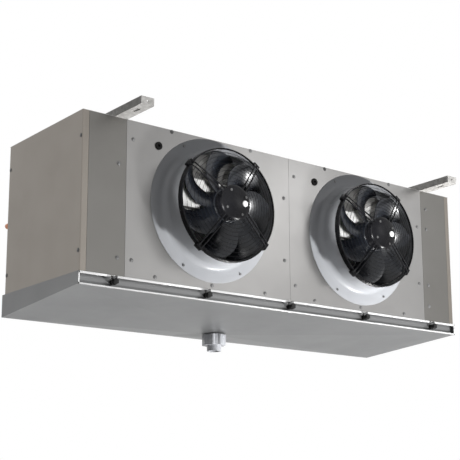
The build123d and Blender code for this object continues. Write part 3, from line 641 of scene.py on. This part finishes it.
@dataclass
class Guard(FanPart):
    """Basket guard: rim, double arms with lugs, fine rings and motor plate."""

    gap: float = 0.0003
    rim_wall: float = 0.0032
    rim_grip: float = 0.014
    rim_lip: float = 0.005
    rim_bend: float = 0.0014
    rim_steps: int = 128
    arm_count: int = 4
    arm_start: float = 53.0
    arm_spacing: float = 0.013
    arm_wire: float = 0.0026
    arm_stand: float = 0.003
    arm_foot: float = 0.004
    knee_in: float = 0.009
    knee_rise: float = 0.005
    lug_sink: float = 0.001
    lug_reach: float = 0.009
    lug_height: float = 0.017
    lug_edge: float = 0.002
    ring_wire: float = 0.0007
    ring_count: int = 9
    plate_radius: float = 0.057
    plate_thickness: float = 0.003
    plate_dish: float = 0.005
    plate_edge: float = 0.0006
    plate_lap: float = 0.006
    dish_back: float = 0.0066
    dish_front: float = 0.0095
    plate_steps: int = 64

    def arm(self, offset: float) -> list[Vector]:
        """Ends and knees of one wire of an arm.

        Args:
            offset: Distance of the wire from the middle of its arm.

        Returns:
            The points from the rim to the motor plate, for an arm along +X.
        """
        rim = self.neck_outer + self.rim_wall
        front = self.length + self.rim_lip
        foot = self.length - self.rim_grip + self.arm_foot
        height = self.plate_front - self.plate_thickness - self.arm_wire
        return [Vector((rim + self.arm_stand, offset, foot)),
                Vector((rim + self.arm_stand, offset, front - self.arm_stand)),
                Vector((rim - self.knee_in, offset, front + self.knee_rise)),
                Vector((self.plate_radius - self.plate_lap, offset, height))]

    def add_rim(self, shape: bmesh.types.BMesh) -> None:
        """Add the ring that grips the end of the neck.

        Args:
            shape: Mesh of the guard.
        """
        back, front = self.length - self.rim_grip, self.length + self.rim_lip
        outer, bend = self.neck_outer + self.rim_wall, self.rim_bend
        seat = self.neck_outer + self.gap
        inner = self.neck_outer - self.sheet
        profile = [(seat, back), (outer, back), *arc((outer - bend, front - bend), bend, 0, 90, 4),
                   (inner, front), (inner, self.length + self.gap), (seat, self.length + self.gap)]
        lathe(shape, profile, self.rim_steps)

    def add_arms(self, shape: bmesh.types.BMesh) -> None:
        """Add the double arms and the lugs that hold them to the rim.

        Args:
            shape: Mesh of the guard.
        """
        outer, back = self.neck_outer + self.rim_wall, self.length - self.rim_grip
        for number in range(self.arm_count):
            arm = bmesh.new()
            for offset in (-self.arm_spacing / 2, self.arm_spacing / 2):
                wire(arm, self.arm(offset), self.arm_wire)
            block(arm, (outer - self.lug_sink, -self.arm_spacing, back),
                  (outer + self.lug_reach, self.arm_spacing, back + self.lug_height),
                  self.lug_edge)
            turn = math.radians(self.arm_start) + math.tau * number / self.arm_count
            put_in(shape, arm, Matrix.Rotation(turn, 4, "Z"))

    def add_rings(self, shape: bmesh.types.BMesh) -> None:
        """Add the fine wire rings behind the arms.

        Args:
            shape: Mesh of the guard.
        """
        inner = self.neck_outer - self.sheet
        knee, foot = self.arm(0.0)[2:]
        for ring in range(self.ring_count):
            share = (ring + 1) / (self.ring_count + 1)
            radius = self.plate_radius + (inner - self.plate_radius) * share
            height = knee.z + (foot.z - knee.z) * (knee.x - radius) / (knee.x - foot.x)
            lathe(shape, arc((radius, height - self.arm_wire), self.ring_wire, 0, 300, 5))

    def add_plate(self, shape: bmesh.types.BMesh) -> None:
        """Add the dished motor plate.

        Args:
            shape: Mesh of the guard.
        """
        top, bottom = self.plate_front, self.plate_front - self.plate_thickness
        rim, dish, thin = self.plate_radius, self.plate_dish, self.plate_edge
        lathe(shape, [(0.0, bottom), (rim - self.dish_back, bottom),
                      (rim - thin, bottom + thin - dish), (rim, bottom + 2 * thin - dish),
                      (rim, top - dish - thin), (rim - thin, top - dish),
                      (rim - self.dish_front, top), (0.0, top)], self.plate_steps)

    def build(self) -> None:
        """Make the guard."""
        shape = bmesh.new()
        self.add_rim(shape)
        self.add_arms(shape)
        self.add_rings(shape)
        self.add_plate(shape)
        self.piece(shape, "basket_guard", Paint.wire_black, "casing", "black_steel", "fan_guard")


@dataclass
class Motor(FanPart):
    """External-rotor motor: fixed flange with its core, and turning drum."""

    bore: float = 0.0064
    core: float = 0.036
    flange_edge: float = 0.002
    flange_depth: float = 0.010
    running_gap: float = 0.0006
    drum_bend: float = 0.006
    drum_wall: float = 0.0135
    drum_floor: float = 0.006
    steps: int = 72

    def fixed_half(self) -> None:
        """Make the flange behind the guard's plate, with its core."""
        back, front, radius = self.reach("motor_stator")
        edge, flange_back = self.flange_edge, front - self.flange_depth
        shape = bmesh.new()
        lathe(shape, [(self.bore, back), (self.core, back), (self.core, flange_back),
                      (radius - edge, flange_back), (radius, flange_back + edge), (radius, front),
                      (self.bore, front)], self.steps)
        self.piece(shape, "motor_flange", Paint.motor_black, "casing", "black_steel",
                   "motor_stator")

    def turning_half(self) -> None:
        """Make the drum that carries the impeller."""
        back, _, radius = self.reach("motor_rotor")
        front = self.reach("motor_stator")[1] - self.flange_depth - self.running_gap
        bend, inner, floor = self.drum_bend, radius - self.drum_wall, back + self.drum_floor
        profile = [(0.0, back), *arc((radius - bend, back + bend), bend, -90, 0, 5)]
        profile += arc((radius - bend, front - bend), bend, 0, 90, 5)
        profile += [(inner, front), (inner, floor), (0.0, floor)]
        shape = bmesh.new()
        lathe(shape, profile, self.steps)
        self.piece(shape, "motor_drum", Paint.motor_black, f"fan_{self.side}", "black_steel",
                   "motor_rotor")

    def build(self) -> None:
        """Make both halves of the motor."""
        self.fixed_half()
        self.turning_half()


@dataclass
class Impeller(FanPart):
    """Hub ring with its sickle blades.

    A size of a blade that changes with the radius is a pair: its value at the
    hub and what it gains by the tip.
    """

    blade_count: int = 7
    thickness: float = 0.0026
    phase: float = 9.0
    front: float = 0.084
    back: float = 0.034
    tip_radius: float = 0.175
    chord: Pair = (0.074, 0.058)
    pitch: Pair = (42.0, -20.0)
    camber: Pair = (0.007, 0.003)
    sweep_back: float = 22.4
    sweep_tip: float = 22.0
    root_sink: float = 0.002
    grid: tuple[int, int] = (18, 14)
    hub_radius: float = 0.0553
    hub_bore: float = 0.0513
    hub_edge: float = 0.0015
    hub_steps: int = 72
    crease: float = 40.0

    def blade_point(self, out: float, across: float) -> Vector:
        """Middle surface of a blade.

        Args:
            out: From 0 at the hub to 1 at the tip.
            across: From -1 at the trailing edge to 1 at the leading edge.

        Returns:
            The point, for the blade that points along +X.
        """
        root = self.hub_radius - self.root_sink
        radius = root + (self.tip_radius - root) * out
        chord = self.chord[0] + self.chord[1] * out ** 0.8
        pitch = math.radians(self.pitch[0] + self.pitch[1] * out ** 0.7)
        lead = math.radians(self.sweep_tip * out ** 2.2 - self.sweep_back * out * (1 - out))
        run = across * chord / 2
        rise = (self.camber[0] + self.camber[1] * out) * (1 - across * across)
        around = run * math.cos(pitch) - rise * math.sin(pitch)
        height = run * math.sin(pitch) + rise * math.cos(pitch)
        angle = around / radius - lead
        return Vector((radius * math.cos(angle), radius * math.sin(angle),
                       (self.front + self.back) / 2 + height))

    def add_blade(self, shape: bmesh.types.BMesh, angle: float) -> None:
        """Add one blade.

        Args:
            shape: Mesh of the impeller.
            angle: Its place round the hub, in radians.
        """
        leaf = bmesh.new()
        bmesh.ops.create_grid(leaf, x_segments=self.grid[0], y_segments=self.grid[1], size=1.0)
        for vert in leaf.verts:
            vert.co = self.blade_point((vert.co.x + 1) / 2, vert.co.y)
        bmesh.ops.solidify(leaf, geom=leaf.faces, thickness=self.thickness)
        bmesh.ops.recalc_face_normals(leaf, faces=leaf.faces)
        put_in(shape, leaf, Matrix.Rotation(angle, 4, "Z"))

    def build(self) -> None:
        """Make the impeller."""
        shape = bmesh.new()
        for number in range(self.blade_count):
            self.add_blade(shape, math.radians(self.phase) + math.tau * number / self.blade_count)
        corner = (self.hub_radius - self.hub_edge, self.front - self.hub_edge)
        lathe(shape, [(self.hub_bore, self.back), (self.hub_radius, self.back),
                      *arc(corner, self.hub_edge, 0, 90, 3), (self.hub_bore, self.front)],
              self.hub_steps)
        self.piece(shape, "sickle_impeller", Paint.blade_black, f"fan_{self.side}",
                   "black_plastic", "impeller", self.crease)


@dataclass
class Grommet(FanPart):
    """Rubber ring around the motor's cable hole, with a groove for the sheet."""

    bore: float = 0.0045
    bead: float = 0.0017
    groove: float = 0.004
    depth: float = 0.005
    gap: float = 0.0003
    height: float = 0.004
    steps: int = 40

    def build(self) -> None:
        """Make the grommet."""
        low, high = node_box(f"cable_grommet_{self.side}")
        radius, bead = (high.x - low.x) / 2, self.bead
        neck = radius - self.groove
        shape = bmesh.new()
        lathe(shape, [(self.bore, -self.depth), (neck, -self.depth), (neck, self.gap),
                      (radius, self.gap), *arc((radius - bead, self.height - bead), bead, 0, 90, 4),
                      (self.bore, self.height)], self.steps)
        self.place.translation = ((low.x + high.x) / 2, self.place.translation.y,
                                  (low.z + high.z) / 2)
        self.piece(shape, "grommet_ring", Paint.rubber_black, "casing", "rubber", "cable_grommet")


@dataclass
class FanSet:
    """One fan with its nozzle, guard, motor, impeller, grommet and screws."""

    side: str

    def build(self) -> None:
        """Make every piece of the fan."""
        for part in (Nozzle, Guard, Motor, Impeller, Grommet):
            part(self.side).build()
        dress(Paint.dull_screw, f"motor_screws_{self.side}")
        dress(Paint.zinc_screw, f"nozzle_screws_{self.side}")


# -------------------------------------------------------------------- casing
@dataclass
class Casing:
    """Sheets, rails, screws and hidden metalwork, and the caps of the motor plates."""

    screw_radius: float = 0.0052
    washer_radius: float = 0.0066
    washer_height: float = 0.0007
    head_height: float = 0.0022
    screw_steps: int = 20
    dome_steps: int = 4
    cap_radius: float = 0.0105
    cap_height: float = 0.0045
    cap_bend: float = 0.003
    cap_steps: int = 32

    def finish_sheets(self) -> None:
        """Give every sheet, rail and bracket its finish."""
        pairs = {"side_cover": Paint.side_sheet, "end_cover": Paint.end_sheet,
                 "back_cover": Paint.end_sheet, "fan_panel": Paint.panel_sheet,
                 "tube_plate": Paint.inner_sheet, "hanger_rail": Paint.rail_zinc}
        for node, finish in pairs.items():
            dress(finish, *(f"{node}_{side}" for side in SIDES))
        dress(Paint.top_sheet, "top_panel")
        dress(Paint.inner_sheet, "front_sill", "back_sill", "bay_partition", "coil_drip_plate")
        dress(Paint.bracket_zinc, "hinge_brackets", "hinge_leaves", "latch_brackets")
        dress(Paint.zinc_screw, "rail_bolts", "rail_nuts", "hinge_pins", "latch_studs")

    def screws(self) -> None:
        """Make the domed heads of the casing's screws with their washers."""
        rise = self.head_height - self.washer_height
        turns = [math.pi / 2 * step / self.dome_steps for step in range(1, self.dome_steps + 1)]
        dome = [(self.screw_radius * math.cos(a), self.washer_height + rise * math.sin(a))
                for a in turns]
        profile = [(0.0, 0.0), (self.washer_radius, 0.0), (self.washer_radius, self.washer_height),
                   (self.screw_radius, self.washer_height), *dome]
        shape = bmesh.new()
        for low, high in loose_boxes("casing_screws"):
            size, centre = high - low, (low + high) / 2
            axis = min(range(3), key=lambda a: size[a])
            outward = Vector((0.0, 0.0, 0.0))
            outward[axis] = math.copysign(1.0, centre[axis])
            seat = centre - outward * size[axis] / 2
            head = bmesh.new()
            lathe(head, profile, self.screw_steps)
            turn = outward.to_track_quat("Z", "Y").to_matrix().to_4x4()
            put_in(shape, head, Matrix.Translation(seat) @ turn)
        make_piece(shape, "cover_screws", Paint.zinc_screw, "casing", ["casing_screws"])

    def caps(self) -> None:
        """Make the white caps over the cable entries of the motor plates."""
        radius, height, bend = self.cap_radius, self.cap_height, self.cap_bend
        shape = bmesh.new()
        for low, high in loose_boxes("motor_plugs"):
            cap = bmesh.new()
            lathe(cap, [(0.0, 0.0), (radius, 0.0),
                        *arc((radius - bend, height - bend), bend, 0, 90, 5), (0.0, height)],
                  self.cap_steps)
            middle = (low + high) / 2
            put_in(shape, cap, Matrix.Translation((middle.x, high.y, middle.z)) @ FACING)
        make_piece(shape, "entry_caps", Paint.plug_white, "casing",
                   ["motor_plugs"])

    def build(self) -> None:
        """Make the casing."""
        self.finish_sheets()
        self.screws()
        self.caps()


@dataclass
class Coil:
    """Fine fin pack and the refrigerant pipework."""

    pitch: float = 0.0042
    fin: float = 0.00028

    def fins(self) -> None:
        """Make the thin upright fins between the tube plates."""
        low, high = node_box("coil_fins")
        left, right = node_box("tube_plate_left")[1].x, node_box("tube_plate_right")[0].x
        count = int((right - left) / self.pitch)
        first = (left + right) / 2 - (count - 1) * self.pitch / 2
        shape = bmesh.new()
        for number in range(count):
            x = first + number * self.pitch
            block(shape, (x - self.fin / 2, low.y, low.z), (x + self.fin / 2, high.y, high.z))
        make_piece(shape, "fin_pack", Paint.fin_foil, "casing", ["coil_fins"])

    def build(self) -> None:
        """Make the coil."""
        self.fins()
        dress(Paint.copper, "coil_tubes", "return_bends", "suction_header", "liquid_distributor")
        dress(Paint.heater_steel, "defrost_heaters")
        dress(Paint.box_grey, "terminal_box", "terminal_box_lid", "cable_glands")


@dataclass
class Tray:
    """Drip tray with hem strips painted near-white as a painted highlight, drain and thumb knobs.
    """

    channel: float = 0.040
    top_bead: float = 0.007
    low_bead: float = 0.005
    bead_edge: float = 0.0005
    proud: float = 0.0006
    depth: float = 0.0012
    notch: float = 0.012
    nut_edge: float = 0.0018
    spout_edge: float = 0.0006
    knob_edge: float = 0.0007

    def beads(self) -> None:
        """Make strips over the folded edges round the front channel, painted near-white as a
        painted highlight.
        """
        low, high = node_box("drip_tray")
        front, back = low.y - self.proud, low.y + self.depth
        rim, bottom = high.z, high.z - self.channel
        boxes = [node_box(f"latch_knob_{number}") for number in KNOBS]
        knobs = sorted((knob_low.x + knob_high.x) / 2 for knob_low, knob_high in boxes)
        gaps = [x for knob in knobs for x in (knob - self.notch, knob + self.notch)]
        stops = [low.x, *gaps, high.x]
        shape = bmesh.new()
        for start, end in zip(stops[::2], stops[1::2]):
            block(shape, (start, front, rim - self.top_bead), (end, back, rim), self.bead_edge)
        block(shape, (low.x, front, bottom), (high.x, back, bottom + self.low_bead), self.bead_edge)
        for x in (low.x, high.x - self.low_bead):
            block(shape, (x, front, bottom), (x + self.low_bead, back, rim), self.bead_edge)
        # These strips sit just proud of the hems, and their near-white colour is a painted
        # highlight.
        make_piece(shape, "tray_hem_painted_highlight_edges", Paint.hem_painted_highlight, "tray")

    def build(self) -> None:
        """Make the tray, its drain and its knobs."""
        dress(Paint.tray_sheet, "drip_tray")
        self.beads()
        make_piece(softened("drain_nut", self.nut_edge), "lobed_drain_nut", Paint.drain_grey,
                   "tray", ["drain_nut"])
        make_piece(softened("drain_fitting", self.spout_edge), "drain_spout", Paint.drain_grey,
                   "tray", ["drain_fitting"])
        for number in KNOBS:
            node = f"latch_knob_{number}"
            make_piece(softened(node, self.knob_edge), f"thumb_knob_{number}", Paint.knob_black,
                       f"knob_{number}", [node])


# -------------------------------------------------------------------- studio
def hang(data: bpy.types.Light, target: Vector, way: Vector, reach: float) -> None:
    """Hang a lamp so that it shines at a target.

    Args:
        data: The light.
        target: Point that it shines at.
        way: Direction from the target to the lamp.
        reach: Distance in metres.
    """
    lamp = bpy.data.objects.new(data.name, data)
    lamp.location = target + way.normalized() * reach
    lamp.rotation_euler = way.to_track_quat("Z", "Y").to_euler()
    bpy.context.scene.collection.objects.link(lamp)


@dataclass(frozen=True)
class Lamp:
    """Square area lamp that faces the cooler.

    It has a direction from the cooler, a distance and an edge in metres, and a
    power in watts.
    """

    name: str
    way: tuple[float, float, float]
    reach: float
    size: float
    power: float

    def build(self) -> None:
        """Hang the lamp up."""
        data = bpy.data.lights.new(self.name, "AREA")
        data.size, data.energy = self.size, self.power
        hang(data, (CAD_BOX[0] + CAD_BOX[1]) / 2, Vector(self.way), self.reach)


@dataclass
class Studio:
    """Camera, lamps, white surround and pale floor."""

    eye: Vector = field(default_factory=lambda: Vector((-2.5008, -3.1345, -1.2245)))
    heading: float = 39.69
    pitch: float = 12.29
    roll: float = -0.62
    lens: float = 91.04
    shift: Pair = (-0.0918, 0.0833)
    view_depth: float = 60.0
    lamps: tuple[Lamp, ...] = (Lamp("key_lamp", (0.55, -0.64, -0.54), 4.2, 0.4, 250.0),
                               Lamp("sheen_lamp", (1.45, -2.1, 0.7), 2.6, 0.6, 3.4),
                               Lamp("glint_lamp", (-0.464, -0.64, 0.607), 3.4, 0.6, 4.5),
                               Lamp("top_lamp", (0.15, 0.4, 1.0), 4.5, 2.5, 85.0))
    throat_reach: float = 4.2
    throat_power: float = 1500.0
    throat_beam: float = 0.098
    throat_size: float = 0.03
    throat_blend: float = 0.1
    throat_aim: Vector = field(default_factory=lambda: Vector((-0.07, 0.0, 0.034)))
    throat_squeeze: Vector = field(default_factory=lambda: Vector((0.92, 1.0, 1.0)))
    ambient: float = 0.10
    floor_glow: float = 0.6
    floor_drop: float = 2.4
    floor_half: float = 30.0
    floor_tone: Pair = (0.80, 0.84)
    floor_rough: float = 0.8
    floor_clouds: Speckle = Speckle(1.5)

    def camera(self) -> None:
        """Set the camera up below the cooler, at its front left."""
        data = bpy.data.cameras.new("camera")
        data.lens = self.lens
        data.shift_x, data.shift_y = self.shift
        data.clip_end = self.view_depth
        camera = bpy.data.objects.new("camera", data)
        turn = Matrix.Rotation(-math.radians(self.heading), 4, "Z")
        tilt = Matrix.Rotation(math.radians(90 + self.pitch), 4, "X")
        lean = Matrix.Rotation(math.radians(self.roll), 4, "Z")
        camera.matrix_world = Matrix.Translation(self.eye) @ turn @ tilt @ lean
        bpy.context.scene.collection.objects.link(camera)
        bpy.context.scene.camera = camera

    def throat_lamp(self, side: str) -> None:
        """Hang up a snooted lamp that shines through one fan onto the coil.

        Args:
            side: Fan that it shines into, left or right.
        """
        low, high = node_box(f"fan_nozzle_{side}")
        data = bpy.data.lights.new(f"throat_lamp_{side}", "SPOT")
        data.energy, data.shadow_soft_size = self.throat_power, self.throat_size
        data.spot_size = 2 * math.atan(self.throat_beam / self.throat_reach)
        data.spot_blend = self.throat_blend
        mouth = Vector(((low.x + high.x) / 2, low.y, (low.z + high.z) / 2)) + self.throat_aim
        hang(data, mouth, (self.eye - mouth) * self.throat_squeeze, self.throat_reach)

    @staticmethod
    def seen_level(tree: bpy.types.NodeTree, hidden: float,
                   shown: float) -> bpy.types.NodeSocket:
        """Strength that is higher for the eye, gloss and glass than as a light.

        Args:
            tree: Node tree that takes the nodes.
            hidden: Strength as a light.
            shown: Strength to look at.

        Returns:
            The strength.
        """
        path = tree.nodes.new("ShaderNodeLightPath")
        seen = path.outputs["Is Camera Ray"]
        for output in ("Is Glossy Ray", "Is Transmission Ray"):
            more = tree.nodes.new("ShaderNodeMath")
            more.operation = "MAXIMUM"
            tree.links.new(seen, more.inputs[0])
            tree.links.new(path.outputs[output], more.inputs[1])
            seen = more.outputs[0]
        level = tree.nodes.new("ShaderNodeMapRange")
        level.inputs["To Min"].default_value = hidden
        level.inputs["To Max"].default_value = shown
        tree.links.new(seen, level.inputs["Value"])
        return level.outputs["Result"]

    def surround(self) -> None:
        """Set up a surround that is white to look at and softer as a light."""
        world = bpy.data.worlds.new("white_surround")
        bpy.context.scene.world = world
        world.use_nodes = True
        tree = world.node_tree
        shade = tree.nodes["Background"]
        tree.links.new(self.seen_level(tree, self.ambient, 1.0), shade.inputs["Strength"])
        shade.inputs["Color"].default_value = (1.0, 1.0, 1.0, 1.0)

    def floor(self) -> None:
        """Lay a plain pale floor below the cooler."""
        shape = bmesh.new()
        place = Matrix.Translation((0.0, 0.0, CAD_BOX[0].z - self.floor_drop))
        bmesh.ops.create_grid(shape, x_segments=1, y_segments=1, size=self.floor_half, matrix=place)
        mesh = bpy.data.meshes.new("floor")
        shape.to_mesh(mesh)
        shape.free()
        wires = Wiring("pale_floor")
        tones = tuple(grey(level) for level in self.floor_tone)
        wires.link(wires.blend(wires.noise(self.floor_clouds), tones, (0.3, 0.7)), "Base Color")
        wires.set(roughness=self.floor_rough, emission_color=(1.0, 1.0, 1.0))
        wires.link(self.seen_level(wires.tree, 0.0, self.floor_glow), "Emission Strength")
        mesh.materials.append(wires.material)
        floor = bpy.data.objects.new("floor", mesh)
        bpy.context.scene.collection.objects.link(floor)

    def build(self) -> None:
        """Set the studio up."""
        bpy.context.scene.view_settings.view_transform = "Standard"
        self.camera()
        self.surround()
        self.floor()
        for lamp in self.lamps:
            lamp.build()
        for side in SIDES:
            self.throat_lamp(side)


def main() -> None:
    """Build the studio and the cooler."""
    logging.basicConfig(level=logging.INFO, format="%(name)s: %(message)s")
    for assembly in (Studio(), Casing(), Coil(), Tray(), *map(FanSet, SIDES)):
        assembly.build()


if __name__ == "__main__":
    main()
